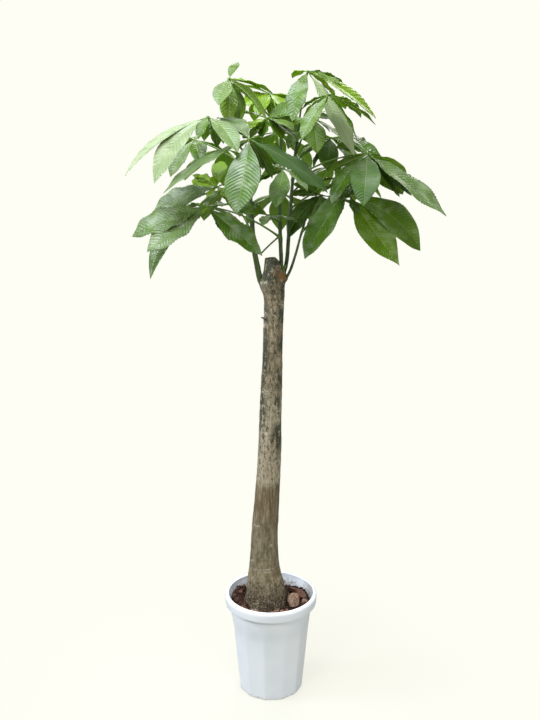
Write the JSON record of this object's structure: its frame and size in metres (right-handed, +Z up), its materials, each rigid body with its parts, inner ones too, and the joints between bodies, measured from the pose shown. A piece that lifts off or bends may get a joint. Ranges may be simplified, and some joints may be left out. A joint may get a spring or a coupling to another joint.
{
  "type": "potted money tree",
  "caption": "Money tree with a single grey trunk, leafy green shoots sprouting round its cut top and drooping palmate fronds, standing in a faceted white plastic pot of soil.",
  "frame": {"origin": "centre of the pot's foot, on the floor", "axes": "+Z up along the trunk, -Y towards the show side, +X to the viewer's right"},
  "size_m": [0.723, 0.6461, 1.5963],
  "materials": {
    "pot_plastic": "white moulded polypropylene, satin",
    "soil": "damp potting mix, crumbly and matt",
    "bark_chip": "rough broken bark, matt",
    "trunk_bark": "grey-brown bark with fine cracks and pale scars",
    "green_stem": "smooth green stem skin, faintly waxy",
    "leaf": "quilted leaf with pale veins, satin sheen above"
  },
  "bodies": {
    "root": {"pot": "pot_plastic", "soil": "soil", "bark_chip_1": "bark_chip", "bark_chip_2": "bark_chip", "bark_chip_3": "bark_chip", "bark_chip_4": "bark_chip", "bark_chip_5": "bark_chip", "bark_chip_6": "bark_chip", "bark_chip_7": "bark_chip", "bark_chip_8": "bark_chip", "bark_chip_9": "bark_chip", "bark_chip_10": "bark_chip", "bark_chip_11": "bark_chip", "bark_chip_12": "bark_chip", "trunk": "trunk_bark", "shoot_left": "green_stem", "shoot_centre": "green_stem", "shoot_right": "green_stem", "shoot_thin": "green_stem", "frond_left_high": "leaf", "frond_left_behind": "leaf", "frond_front_centre": "leaf", "frond_left_low": "leaf", "frond_crown_left": "leaf", "frond_crown_right": "leaf", "frond_right_high": "leaf", "frond_right_middle": "leaf", "frond_right_low": "leaf", "frond_right_inner": "leaf", "frond_centre_small": "leaf", "frond_centre_right": "leaf", "frond_centre_low": "leaf", "frond_crown_middle": "leaf", "frond_crown_back": "leaf", "frond_inner_right": "leaf", "frond_inner_back": "leaf", "frond_inner_left": "leaf", "frond_back_left": "leaf", "frond_back_middle": "leaf", "frond_back_right": "leaf", "frond_back_low": "leaf", "frond_low_left": "leaf"}
  },
  "joints": []
}
